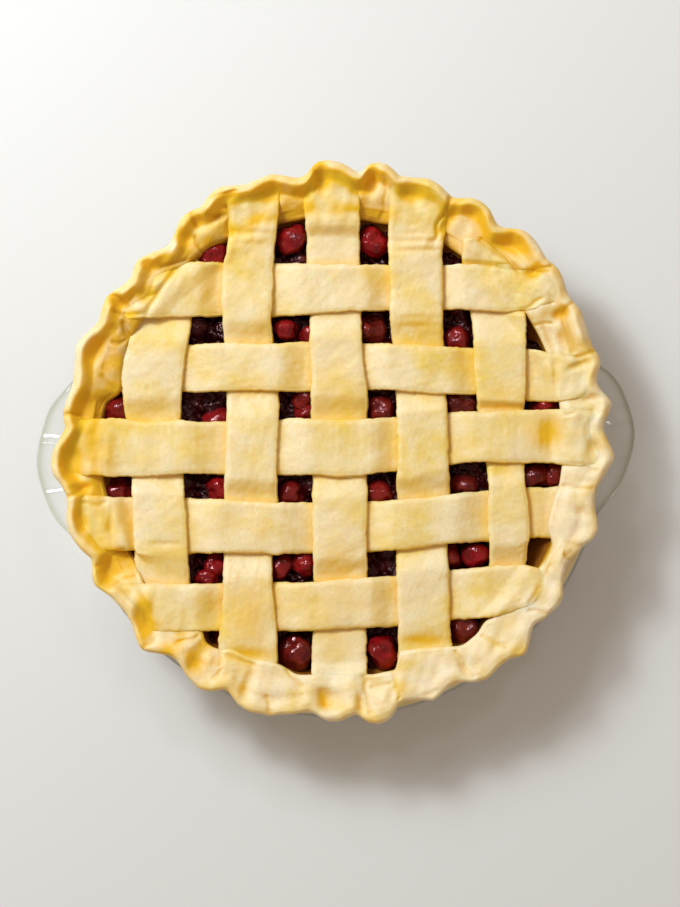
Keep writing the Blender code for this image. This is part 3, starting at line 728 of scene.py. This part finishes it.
def doughSheet(name, length, width):
    cell = lattice["cell"]
    bpy.ops.mesh.primitive_grid_add(
        x_subdivisions=round(length / cell), y_subdivisions=round(width / cell), size=1.0
    )
    piece = bpy.context.object
    piece.name = name
    editAll(piece)
    bpy.ops.transform.resize(value=(length * mm, width * mm, 1.0))
    leaveEdit()
    applyModifier(piece, "SOLIDIFY", thickness=lattice["thickness"] * mm, offset=-1.0)
    applyModifier(piece, "BEVEL", width=lattice["edgeRound"] * mm, segments=3, limit_method="ANGLE")
    return piece


def endPlace(way, strip, side, sign):
    # how far along the strip its end lies, at a place across it
    along = np.full_like(side, 90.0)
    for turn in range(24):
        middle = pathValue(strip, along * sign, 1) + side
        x, y = (middle, along * sign) if way == "down" else (along * sign, middle)
        reach = endReach(strip, along * sign, x, y)[0]
        along = blendTo(along, np.sqrt(np.maximum(reach * reach - middle * middle, 100.0)), 0.6)
    return along


def layStrip(way, index):
    strip = lattice[way][index]
    widest = max(row[2] for row in strip["path"])
    startAt = endPlace(way, strip, np.zeros(1), -1.0)[0]
    endAt = endPlace(way, strip, np.zeros(1), 1.0)[0]
    piece = doughSheet("doughStrip_" + way + "_" + str(index + 1), startAt + endAt, widest)
    flat = readPoints(piece)
    along = flat[:, 0] + (endAt - startAt) / 2.0
    sideShare = flat[:, 1] / (widest / 2.0)
    seed = 20 + index + (10 if way == "down" else 0)
    # uneven cut edges
    width = pathValue(strip, along, 2) / 2.0
    edge = np.sign(sideShare) * 40.0
    ragged = unevenSum(along, edge, lattice["ragged"], seed)
    side = sideShare * (width + ragged * np.abs(sideShare) ** 3)
    # bring both ends to the round outline
    for sign, limit in ((-1.0, startAt), (1.0, endAt)):
        bend = limit * 0.55
        beyond = along * sign > bend
        place = endPlace(way, strip, side, sign)
        stretched = bend + (along * sign - bend) * (place - bend) / (limit - bend)
        along = np.where(beyond, stretched * sign, along)
    across = pathValue(strip, along, 1) + side
    top, nearEdge = stripTop(way, index, along, across)[::2]
    x, y = (across, along) if way == "down" else (along, across)
    radius, degrees = roundPlace(x, y)
    depth = -flat[:, 2]
    thin = blendTo(1.0, 0.6, smoothStep(108.0, 120.0, radius))
    swell = unevenSum(x, y, lattice["swell"], seed)
    fromEdge = width * (1.0 - np.abs(sideShare))
    nearCut = np.clip(1.0 - fromEdge / 2.4, 0.0, 1.0)
    droop = 0.25 * np.abs(sideShare) ** 4 + 0.8 * nearCut ** 2
    sink = 1.2 * np.abs(sideShare) ** 6 * smoothStep(113.0, 122.0, radius)
    z = top - depth * thin + (swell - droop) * (1.0 - depth / lattice["thickness"] * 0.7) - sink
    writePoints(piece, np.stack([x, y, z], axis=1))
    if way == "down":
        piece.data.flip_normals()
    # painted shade of the rim where the strip lies on it, and the golden patches
    rimShadeAndPatches = rimTone(degrees, radius) * smoothStep(107.0, 114.0, radius)
    for toneX, toneY, amount, acrossX, acrossY in lattice["tones"]:
        rimShadeAndPatches = rimShadeAndPatches + amount * hump(x - toneX, acrossX) * hump(y - toneY, acrossY)
    dented = np.minimum(stripDents(x, y), 0.0)
    # painted shade beside the edges of strips on top, on the sides and underside and in the dents; a
    # little gold at the cut edges; painted shade and light by how the surface faces the window
    shaded = 0.42 * hump(nearEdge, 2.6) + 0.50 * smoothStep(0.6, 2.2, depth) - 0.30 * dented
    shaded = shaded + 0.20 * smoothStep(0.35, 1.0, nearCut) + shadeAway(piece)
    writeTone(piece, "toneShadeAndLight", np.clip(rimShadeAndPatches + shaded, -0.7, 1.0))
    finishPiece(piece, rawDough, ["lattice_" + way + "_" + str(index + 1)])


for stripWay in ("down", "across"):
    for stripIndex in range(len(lattice[stripWay])):
        layStrip(stripWay, stripIndex)
print("lattice laid")


# Rim and lining of the bottom crust

lining = {
    "wallFoot": (83.0, 5.0),        # radius and height of the glass's inner corner
    "wallTop": (116.0, dishTop),    # and of its inner rim
    "intoGlass": 0.2,
    "wallThick": 4.2,
    "floorThick": 3.5,
}


def glassInside(height):
    foot, top = lining["wallFoot"], lining["wallTop"]
    return foot[0] + (height - foot[1]) * (top[0] - foot[0]) / (top[1] - foot[1])


def pressUnderStrips(x, y, height):
    # the rim gives way under the strips that run over it
    radius = np.hypot(x, y)
    for way in ("down", "across"):
        for index, strip in enumerate(lattice[way]):
            along, across = alongAcross(way, x, y)
            inside = 0.5 * pathValue(strip, along, 2) - np.abs(across - pathValue(strip, along, 1))
            top, reach = stripTop(way, index, along, across)[:2]
            start, end = strip["ends"]
            laid = np.where(along < 0.0, start[0] in ("over", "laid"), end[0] in ("over", "laid"))
            near = smoothStep(0.2, 1.8, inside) * smoothStep(reach - 4.5, reach - 8.5, radius) * laid
            height = height - near * np.maximum(0.0, height - (top - 1.2))
    return height


def crustRim():
    bpy.ops.mesh.primitive_torus_add(
        major_segments=rim["steps"], minor_segments=rim["section"],
        major_radius=rim["middle"] * mm, minor_radius=10.0 * mm,
    )
    piece = bpy.context.object
    piece.name = "crustRim"
    editAll(piece)
    bpy.ops.mesh.subdivide(number_cuts=rim["cuts"])
    leaveEdit()
    points = readPoints(piece)
    radius, degrees = roundPlace(points[:, 0], points[:, 1])
    away = radius - rim["middle"]
    # turn about the section: 0 outside, 90 top, 180 inside
    turn = np.mod(np.degrees(np.arctan2(points[:, 2], away)) + 360.0, 360.0)
    inner = roundTable(rim["innerEdge"], degrees)
    outer = rimOutline(degrees)
    # upper surface, from the outline to the inner edge
    share = np.clip(turn / 230.0, 0.0, 1.0)
    spaced = blendTo(share, 0.5 - 0.5 * np.cos(np.pi * share), 0.35)
    radiusTop = blendTo(outer, inner, spaced)
    x, y = flatPlace(degrees, radiusTop)
    heightTop = pressUnderStrips(x, y, rimTop(degrees, radiusTop))
    # the rest of the section, from the inner edge round to the outline: down, out, up the outside
    edgeIn = rimTop(degrees, inner)
    edgeOut = rimTop(degrees, outer)
    seat = dishTop - 0.2
    lowIn = np.minimum(edgeIn - 1.5, 42.0)
    route = (
        (230.0, inner, edgeIn),
        (245.0, np.minimum(inner + 0.8, glassInside(43.0) - 5.9), lowIn),
        (268.0, glassInside(28.0) - 6.2, 28.0),
        (275.0, glassInside(28.0) - 1.0, 28.0),
        (292.0, glassInside(43.0) + 0.2, 43.0),
        (300.0, 114.6, seat),
        (322.0, np.clip(outer - 2.6, rim["skirt"], 126.0), seat),
        (325.0, np.clip(outer - 2.6, rim["skirt"], 126.0), seat + 0.9),
        (338.0, outer - 0.9, blendTo(seat + 0.9, edgeOut, 0.30)),
        (350.0, outer - 0.2, blendTo(seat, edgeOut, 0.62)),
        (360.0, outer, edgeOut),
    )
    radius, height = radiusTop.copy(), heightTop.copy()
    for start, end in zip(route, route[1:]):
        here = (turn > start[0]) & (turn <= end[0])
        part = np.clip((turn - start[0]) / (end[0] - start[0]), 0.0, 1.0)
        radius = np.where(here, blendTo(start[1], end[1], part), radius)
        height = np.where(here, blendTo(start[2], end[2], part), height)
    outside = (turn > 325.0).astype(float)
    seam = 0.5 * hump((turn - 341.0), 4.0) * outside
    rough = 0.25 * unevenness(degrees * 2.1, turn * 0.3, 9.0, 7) * smoothStep(326.0, 344.0, turn) * outside
    radius = radius - seam + rough * smoothStep(360.0, 353.0, turn)
    x, y = flatPlace(degrees, radius)
    writePoints(piece, np.stack([x, y, height], axis=1))
    above = turn < 230.0
    inside = (turn > 200.0) & (turn < 290.0)
    edgeKept = blendTo(0.3, 1.0, smoothStep(1.5, 5.0, outer - radius))
    # painted shade and light as on the rest of the rim, and golden painted shade down the inner wall into
    # the holes
    toned = rimTone(degrees, radius) + shadeAway(piece) * edgeKept
    writeTone(piece, "toneShadeAndLight", np.clip(np.where(above, toned, 1.0 * (turn < 285.0)), -0.7, 1.0))
    # painted shade: darker on the far left inner half, where the crest's shadow falls, and in the creases
    crestShadow = 0.33 * hump(turnFrom(degrees, 145.0), 0.50) + 0.26 * hump(turnFrom(degrees, 95.0), 0.45)
    # painted shade in the creases, stronger on the far half
    creaseShade = 0.15 * blendTo(0.2, 1.0, smoothStep(-20.0, 45.0, y))
    creaseShade = creaseShade * np.clip(creaseDepth(degrees, radius), 0.0, 1.0)
    stainedAndShaded = (creaseShade + crestShadow * smoothStep(119.5, 115.5, radius)) * above
    # darker down the inner wall into the holes: juice stain and painted shade
    writeTone(piece, "stainAndShade", np.maximum(smoothStep(48.5, 42.0, height) * inside, stainedAndShaded))
    finishPiece(piece, rawDough, ["bottom_crust"])


def crustLining():
    foot = lining["wallFoot"]
    into = lining["intoGlass"]
    low = foot[1] - into
    bpy.ops.mesh.primitive_cylinder_add(
        vertices=192, radius=(foot[0] + into - 1.2) * mm, depth=mm, location=(0.0, 0.0, (low + 0.5) * mm)
    )
    piece = bpy.context.object
    piece.name = "crustLining"
    editAll(piece)
    bpy.ops.mesh.select_all(action="DESELECT")
    leaveEdit()
    top = max(piece.data.polygons, key=lambda face: face.center.z)
    top.select = True
    wallTop = dishTop - 5.0
    rings = [(foot[0] + into - 1.2, low + 1.0), (glassInside(low + 1.6) + into, low + 1.6)]
    rings += [(glassInside(height) + into, height) for height in (12.0, 20.0, 28.0, 36.0, wallTop)]
    thick = lining["wallThick"]
    rings += [(glassInside(height) - thick, height) for height in (wallTop, 36.0, 24.0, 12.0)]
    rings += [(radius, foot[1] + lining["floorThick"]) for radius in (foot[0] - 4.0, 40.0)]
    bpy.context.view_layer.objects.active = piece
    bpy.ops.object.mode_set(mode="EDIT")
    bpy.ops.mesh.select_mode(type="FACE")
    extrudeRings(rings)
    leaveEdit()
    settlePlace(piece)
    points = readPoints(piece)
    height = points[:, 2]
    inside = (glassInside(height) - np.hypot(points[:, 0], points[:, 1]) > 2.5) & (height > foot[1] + 1.0)
    # painted shade: golden inside the wall and darker low down, with juice stain; painted light: paler
    # outside
    writeTone(piece, "toneShadeAndLight", np.where(inside, 1.0, -0.75))
    writeTone(piece, "stainAndShade", smoothStep(48.5, 42.0, height) * inside)
    finishPiece(piece, rawDough, ["bottom_crust"])


crustRim()
crustLining()
print("crust shaped")


# Filling

filling = {
    "level": 40.2,
    "outline": 112.5,
    "cell": 0.8,
    "bottom": 30.0,
    "pitch": 16.5,
    "cherry": 8.1,
    # cherries that show through the lattice: x, y, radius, height of the middle, redness
    "shown": (
        (-21.1, 99.3, 8.2, 39.6, 0.85), (17.6, 97.4, 7.6, 38.8, 0.95), (-57.4, 91.6, 9, 39.6, 0.9),
        (-23.3, 56.4, 6.4, 38.4, 0.75), (-11, 53, 6.2, 38, 0.7), (15.8, 56.5, 8.2, 37.2, 0.25),
        (56.4, 51.8, 7.6, 37.4, 0.65), (-54.8, 13.6, 7.4, 37.6, 0.8), (-14.6, 24.6, 6.4, 38, 0.5),
        (-13.4, 17.6, 6, 37.8, 0.6), (20.8, 18.9, 7.8, 38, 0.35), (57.6, 22.4, 8.8, 37.4, 0.12),
        (97.5, 19.6, 7.8, 38.2, 0.75), (-101.2, 19, 8, 38.2, 0.55), (-54.8, -18.1, 6.6, 38.2, 0.9),
        (-20.8, -19.8, 7.2, 37.4, 0.45), (20, -20.2, 7.6, 38, 0.55), (60, -17, 6.6, 37.4, 0.25),
        (92, -11.6, 7.2, 38, 0.35), (102, -10.6, 6.4, 37.6, 0.4), (-101, -18.6, 7.2, 37.2, 0.4),
        (-56, -53, 5.8, 38.8, 0.9), (-60.4, -61.2, 6.4, 38.2, 0.9), (-14.8, -53, 6.6, 38.4, 0.85),
        (-26, -53.6, 6.6, 38, 0.6), (52.2, -49.2, 7, 37.6, 0.4), (65.4, -49, 6.8, 39.4, 0.95),
        (-19.2, -94.4, 8.8, 38.6, 0.28), (22, -93.8, 8, 40.6, 1), (59.6, -82.6, 8.4, 37.6, 0.18),
        (-51, -86.4, 7.4, 36.6, 0.1),
    ),
    "hollow": (95.5, -41.5, 12.0, 11.0),       # low corner by the rim: x, y, depth, size
    "lumpy": 0.085,             # each as a share of a cherry's size
    "wrinkle": 0.020,
    "stalkDent": 0.22,
    "ripples": ((0.9, 10.0, 51), (0.45, 4.5, 52)),      # height, size, seed
    "juiceDark": (0.008, 0.0006, 0.0008),
    "juiceRed": (0.045, 0.002, 0.003),
    "darkSkin": ((0.050, 0.005, 0.004), (0.16, 0.022, 0.010)),
    "redSkin": ((0.16, 0.002, 0.004), (0.36, 0.008, 0.012)),
    "glint": (1.0, 0.60, 0.64, 1.0),
    "roughness": 0.08,
}


def cherryPlaces():
    draw = np.random.default_rng(12)
    places = [tuple(row) for row in filling["shown"]]
    pitch = filling["pitch"]
    for row in range(-8, 9):
        for column in range(-8, 9):
            x = (column + 0.5 * (row % 2)) * pitch + draw.uniform(-2.0, 2.0)
            y = row * pitch * 0.87 + draw.uniform(-2.0, 2.0)
            size = filling["cherry"] * draw.uniform(0.9, 1.08)
            sink = draw.uniform(-2.0, 1.2)
            red = draw.uniform(0.1, 0.8)
            if math.hypot(x, y) > filling["outline"] - 11.0:
                continue
            if math.hypot(x - filling["hollow"][0], y - filling["hollow"][1]) < 20.0:
                continue
            if all(math.hypot(x - other[0], y - other[1]) > 12.5 for other in places):
                places.append((x, y, size, 35.0 + sink, red * 0.5))
    return places


def keepInside(points):
    # nothing of the filling passes into the wall of crust any further than halfway
    radius = np.hypot(points[:, 0], points[:, 1])
    share = np.minimum(1.0, (glassInside(points[:, 2]) - 2.8) / np.maximum(radius, 1.0))
    points[:, 0] *= share
    points[:, 1] *= share
    return points


def cherryHeap(places):
    draw = np.random.default_rng(5)
    made = []
    for x, y, size, middle, red in places:
        bpy.ops.mesh.primitive_uv_sphere_add(segments=32, ring_count=20, radius=size * mm)
        cherry = bpy.context.object
        points = readPoints(cherry)
        away = np.linalg.norm(points, axis=1, keepdims=True)
        way = points / away
        across = np.hypot(points[:, 0], points[:, 1])
        dent = filling["stalkDent"] * size * hump(across, size * 0.30) * (points[:, 2] > 0)
        shift = draw.uniform(0.0, 90.0)
        x0, y0, z0 = points.T
        lumpy = filling["lumpy"] * size * unevenness(x0 + shift, y0 + z0, size * 1.3, 31)
        wrinkle = filling["wrinkle"] * size * unevenness(x0 + z0 + shift, y0, size * 0.42, 32)
        points = points + way * (lumpy + wrinkle)[:, None]
        points[:, 2] -= dent
        points[:, 2] *= 0.93
        tilt, spin = draw.uniform(0.3, 1.5), draw.uniform(0.0, 2.0 * math.pi)
        cosT, sinT, cosS, sinS = math.cos(tilt), math.sin(tilt), math.cos(spin), math.sin(spin)
        points = points @ np.array([[1, 0, 0], [0, cosT, sinT], [0, -sinT, cosT]])
        points = points @ np.array([[cosS, sinS, 0], [-sinS, cosS, 0], [0, 0, 1]])
        writePoints(cherry, keepInside(points + np.array([x, y, middle])))
        writeTone(cherry, "redness", np.full(len(points), red))
        # darker towards the lower sides: juice coat and painted shade
        writeTone(cherry, "syrupAndShade", smoothStep(0.62, 0.05, points[:, 2] / size))
        made.append(cherry)
    bpy.ops.object.select_all(action="DESELECT")
    for cherry in made:
        cherry.select_set(True)
    bpy.context.view_layer.objects.active = made[0]
    bpy.ops.object.join()
    heap = bpy.context.object
    heap.name = "cherries"
    return heap


def juiceBody(places):
    cell, outline = filling["cell"], filling["outline"]
    across = 2.0 * (outline + 2.0)
    bpy.ops.mesh.primitive_grid_add(
        x_subdivisions=round(across / cell), y_subdivisions=round(across / cell), size=across * mm
    )
    piece = bpy.context.object
    piece.name = "cherryJuice"
    points = readPoints(piece)
    outside = np.hypot(points[:, 0], points[:, 1]) > outline
    editAll(piece)
    bpy.ops.mesh.select_all(action="DESELECT")
    bpy.ops.mesh.select_mode(type="VERT")
    leaveEdit()
    piece.data.vertices.foreach_set("select", outside)
    startEdit(piece)
    bpy.ops.mesh.delete(type="VERT")
    bpy.ops.mesh.select_all(action="SELECT")
    bpy.ops.mesh.region_to_loop()
    bpy.ops.mesh.extrude_edges_move(TRANSFORM_OT_translate={"value": (0.0, 0.0, -filling["bottom"] * mm)})
    bpy.ops.mesh.edge_face_add()
    bpy.ops.mesh.select_all(action="SELECT")
    bpy.ops.mesh.normals_make_consistent(inside=False)
    leaveEdit()
    points = readPoints(piece)
    x, y, lower = points[:, 0], points[:, 1], points[:, 2] < -1.0
    height = filling["level"] - 1.2 + unevenSum(x, y, filling["ripples"])
    for cherryX, cherryY, size, middle, red in places[len(filling["shown"]):]:
        away = np.hypot(x - cherryX, y - cherryY)
        coat = middle + np.sqrt(np.maximum(size * size * 1.1 - away * away, 0.0)) + 0.2
        height = np.where(away < size, softMax(height, coat, 1.6), height)
    for cherryX, cherryY, size, middle, red in places[:len(filling["shown"])]:
        height = height - 0.6 * red * hump(np.hypot(x - cherryX, y - cherryY), size)
    lowX, lowY, deep, reach = filling["hollow"]
    height = height - deep * hump(np.hypot(x - lowX, y - lowY), reach)
    height = height + 0.28 * unevenness(x, y, 2.6, 53)
    height = np.minimum(height, stripLow - 0.4)
    points[:, 2] = np.where(lower, 20.0, height)
    shrink = np.where(lower, 0.78, 1.0)
    points[:, 0] *= shrink
    points[:, 1] *= shrink
    writePoints(piece, keepInside(points))
    return piece


def makeWet(name, specular):
    material, shader = newMaterial(name)
    shader.inputs["Roughness"].default_value = filling["roughness"]
    shader.inputs["Specular IOR Level"].default_value = specular
    shader.inputs["Specular Tint"].default_value = filling["glint"]
    return material, shader


def makeJuice():
    material, shader = makeWet("darkJuice", 0.45)
    swirls = noise(material, 130.0, 3.0, 0.6, 0.5)
    colour = ramp(material, swirls, (0.38, filling["juiceDark"]), (0.72, filling["juiceRed"]))
    link(material, colour, shader.inputs["Base Color"])
    broad = noise(material, 230.0, 2.0, 0.5, 1.0)
    fine = noise(material, 560.0, 2.0, 0.5, 0.8)
    addBumps(material, shader, (broad, 0.7, 0.0020), (fine, 0.7, 0.0009))
    return material


def makeCherry():
    material, shader = makeWet("cookedCherry", 0.55)
    patches = noise(material, 210.0, 3.0, 0.6, 0.5)
    dark, bright = (
        ramp(material, patches, (low, filling[name][0]), (high, filling[name][1]))
        for name, low, high in (("darkSkin", 0.36, 0.66), ("redSkin", 0.30, 0.70))
    )
    skin = mixColour(material, attribute(material, "redness"), dark, bright)
    smears = ramp(material, noise(material, 120.0, 2.0, 0.5, 0.4), (0.44, 0.0), (0.72, 0.6))
    # juice colour where smeared, and on the lower sides as juice coat and painted shade
    covered = mathNode(material, "MAXIMUM", attribute(material, "syrupAndShade"), smears)
    link(material, mixColour(material, covered, skin, filling["juiceRed"]), shader.inputs["Base Color"])
    broad = noise(material, 190.0, 2.0, 0.5, 0.6)
    fine = noise(material, 560.0, 2.0, 0.5, 0.4)
    addBumps(material, shader, (broad, 0.55, 0.0016), (fine, 0.42, 0.0008))
    return material


fillingPlaces = cherryPlaces()
finishPiece(juiceBody(fillingPlaces), makeJuice(), ["cherry_filling"])
finishPiece(cherryHeap(fillingPlaces), makeCherry(), ["cherry_filling"])
print("filling made, cherries:", len(fillingPlaces))


# Glass dish

dish = {
    "foot": 86.0,
    "floor": 83.0,
    "floorHigh": 5.0,
    "bore": 116.0,
    "rim": 124.2,
    "flange": 4.5,
    "edgeRound": 2.2,
    "wall": 4.5,
    # the two grip ears: angle, and reach beyond the rim
    "ears": (
        (-14.5, 0), (-11.7, 3.2), (-7.1, 9.7), (-2.6, 12.4), (1.6, 15.5), (5.2, 15.7), (8.4, 14.3),
        (14.7, 11.1), (17.7, 6.4), (20.5, 0), (162.5, 0), (166, 3.5), (171.3, 11.2), (177.1, 13.6),
        (180.4, 15.5), (185, 15.5), (188.2, 13.7), (192.8, 11.6), (196.4, 8.1), (201, 0),
    ),
    "ribs": (8.9, 5.4, -1.6, 177.4, 178.6, 188.5),     # raised lines across the ears
    "ribHigh": 0.8,
    "earDroop": 1.2,
    "steps": 900,
    "flangeRings": 6,
    "clear": (0.985, 0.992, 0.985),
    # tint of the painted dark lines at the ear edges, standing in for reflection and refraction
    "edge": (0.76, 0.765, 0.67),
}


def arcRound(corner, before, after, size, count=6):
    # a rounded corner: points of a quadratic curve between two sides
    corner, before, after = (np.array(point, float) for point in (corner, before, after))
    first = corner + (before - corner) * min(1.0, size / np.linalg.norm(before - corner))
    last = corner + (after - corner) * min(1.0, size / np.linalg.norm(after - corner))
    made = []
    for step in range(count + 1):
        share = step / count
        made.append(tuple((1 - share) ** 2 * first + 2 * share * (1 - share) * corner + share ** 2 * last))
    return made


def dishSection():
    under = dishTop - dish["flange"]
    slope = (dish["bore"] - dish["floor"]) / (dishTop - dish["floorHigh"])
    outerTop = dish["bore"] + dish["wall"] - slope * dish["flange"]
    outerFoot = dish["foot"] + 1.2
    # each corner's radius and height, and how much of it is rounded off
    corners = (
        ((30.0, 0.9), 0.0), ((dish["foot"] - 5.0, 0.9), 1.5), ((dish["foot"] - 3.0, 0.0), 1.0),
        ((outerFoot, 0.0), 3.0), ((outerTop, under), 4.0), ((dish["rim"], under), dish["edgeRound"]),
        ((dish["rim"], dishTop), dish["edgeRound"]), ((dish["bore"], dishTop), 2.0),
        ((dish["floor"], dish["floorHigh"]), 5.0), ((30.0, dish["floorHigh"]), 0.0),
    )
    section = [corners[0][0]]
    for before, corner, after in zip(corners, corners[1:], corners[2:]):
        section += arcRound(corner[0], before[0], after[0], corner[1])
    section.append(corners[-1][0])
    # more rings across the flat top of the flange, for the raised lines
    rings = [section[0]]
    for here, after in zip(section, section[1:]):
        flatTop = min(here[1], after[1]) > dishTop - 0.001
        parts = dish["flangeRings"] if flatTop and here[0] - after[0] > 1.5 else 1
        for step in range(1, parts + 1):
            rings.append(tuple(blendTo(here[side], after[side], step / parts) for side in (0, 1)))
    return rings


def glassDish():
    section = dishSection()
    start = (0.0, 0.0, section[0][1] * mm)
    bpy.ops.mesh.primitive_circle_add(
        vertices=dish["steps"], radius=section[0][0] * mm, fill_type="NGON", location=start
    )
    piece = bpy.context.object
    piece.name = "glassDish"
    editAll(piece)
    bpy.ops.mesh.select_mode(type="FACE")
    bpy.ops.mesh.select_all(action="SELECT")
    extrudeRings(section)
    bpy.ops.mesh.select_all(action="SELECT")
    bpy.ops.mesh.normals_make_consistent(inside=False)
    leaveEdit()
    settlePlace(piece)
    points = readPoints(piece)
    radius, degrees = roundPlace(points[:, 0], points[:, 1])
    out = smoothStep(dish["bore"] + 1.0, dish["rim"] - dish["edgeRound"], radius)
    ears = roundTable(dish["ears"], degrees, 2.4)
    radiusNew = radius + out * ears
    upper = points[:, 2] > dishTop - 0.5 * dish["flange"]
    rib = np.zeros_like(radius)
    for angle in dish["ribs"]:
        beside = turnFrom(degrees, angle) * radiusNew
        rib += dish["ribHigh"] * hump(beside, 0.8) * smoothStep(122.0, 127.0, radiusNew) * upper
    lift = -dish["earDroop"] * smoothStep(126.0, 140.0, radiusNew)
    points[:, 0] *= radiusNew / radius
    points[:, 1] *= radiusNew / radius
    points[:, 2] += rib + lift
    writePoints(piece, points)
    # painted dark lines along the ear outlines and raised lines, standing in for reflection and refraction
    paintedOutline = hump(dish["rim"] + ears - radiusNew - 1.2, 1.5) * smoothStep(0.5, 4.0, ears)
    writeTone(piece, "edge", np.clip(paintedOutline + 0.5 * rib, 0.0, 1.0))
    return piece


def makeGlass():
    material, shader = newMaterial("clearGlass")
    # clear, tinted darker along the painted lines at the ear edges
    tinted = mixColour(material, attribute(material, "edge"), dish["clear"], dish["edge"])
    link(material, tinted, shader.inputs["Base Color"])
    shader.inputs["Roughness"].default_value = 0.0
    shader.inputs["IOR"].default_value = 1.47
    shader.inputs["Transmission Weight"].default_value = 1.0
    clear = addNode(material, "ShaderNodeBsdfTransparent", {"Color": (0.978, 0.984, 0.976, 1.0)})
    path = addNode(material, "ShaderNodeLightPath")
    both = addNode(material, "ShaderNodeMixShader", {0: path.outputs["Is Shadow Ray"]})
    link(material, shader.outputs["BSDF"], both.inputs[1])
    link(material, clear.outputs["BSDF"], both.inputs[2])
    link(material, both.outputs["Shader"], material.node_tree.nodes["Material Output"].inputs["Surface"])
    return material


finishPiece(glassDish(), makeGlass(), ["glass_dish"])
print("dish made")


# Floor, light and camera

studio = {
    "viewTall": 0.422,          # height of the picture at the dish's rim, metres
    "distance": 1.105,          # camera above the dish's rim
    "aim": (0.0019, -0.0012),
    "floor": (0.80, 0.80, 0.80),
    "world": (1.0, 0.84, 0.68),
    "worldStrength": 0.39,
    "backdrop": (0.80, 0.79, 0.77),
    # soft window light, and a small bright one inside it for the glints: place, size, power
    "lights": (
        ((-0.66, 0.68, 1.02), 0.54, 9.0), ((-0.64, 0.66, 1.01), 0.20, 6.4),
        ((-0.25, 0.85, 1.05), 0.12, 1.1), ((0.30, 0.55, 1.15), 0.10, 0.5),
    ),
    "lightColour": (0.90, 0.965, 1.0),
}


def makeStudio():
    bpy.ops.mesh.primitive_plane_add(size=8.0, location=(0.0, 0.0, -0.0002))
    floor = bpy.context.object
    floor.name = "floor"
    material, shader = newMaterial("paleFloor")
    darker = tuple(0.985 * part for part in studio["floor"])
    tint = ramp(material, noise(material, 3.0, 2.0), (0.3, studio["floor"]), (0.7, darker))
    link(material, tint, shader.inputs["Base Color"])
    shader.inputs["Roughness"].default_value = 0.55
    floor.data.materials.append(material)

    world = bpy.data.worlds.new("studioWorld")
    bpy.context.scene.world = world
    world.use_nodes = True
    sky = world.node_tree.nodes["Background"]
    sky.inputs["Color"].default_value = (*studio["world"], 1.0)
    sky.inputs["Strength"].default_value = studio["worldStrength"]
    # a paler backdrop where the camera looks past the floor
    nodes, links = world.node_tree.nodes, world.node_tree.links
    backdrop = nodes.new("ShaderNodeBackground")
    backdrop.inputs["Color"].default_value = (*studio["backdrop"], 1.0)
    mixed = nodes.new("ShaderNodeMixShader")
    links.new(nodes.new("ShaderNodeLightPath").outputs["Is Camera Ray"], mixed.inputs[0])
    links.new(sky.outputs["Background"], mixed.inputs[1])
    links.new(backdrop.outputs["Background"], mixed.inputs[2])
    links.new(mixed.outputs["Shader"], nodes["World Output"].inputs["Surface"])

    for place, size, power in studio["lights"]:
        lamp = bpy.data.lights.new("windowLight", "AREA")
        lamp.shape = "SQUARE"
        lamp.size = size
        lamp.energy = power
        lamp.color = studio["lightColour"]
        lampObject = bpy.data.objects.new("windowLight", lamp)
        bpy.context.scene.collection.objects.link(lampObject)
        lampObject.location = place
        aim = Vector((0.0, 0.0, 0.04)) - lampObject.location
        lampObject.rotation_euler = aim.to_track_quat("-Z", "Y").to_euler()

    camera = bpy.data.cameras.new("camera")
    camera.sensor_width = 36.0
    camera.lens = 0.5 * camera.sensor_width * studio["distance"] / (0.5 * studio["viewTall"])
    camera.dof.use_dof = False
    cameraObject = bpy.data.objects.new("camera", camera)
    bpy.context.scene.collection.objects.link(cameraObject)
    cameraObject.location = (*studio["aim"], dishTop * mm + studio["distance"])
    bpy.context.scene.camera = cameraObject
    bpy.context.scene.view_settings.view_transform = "Standard"


makeStudio()
print("studio set")
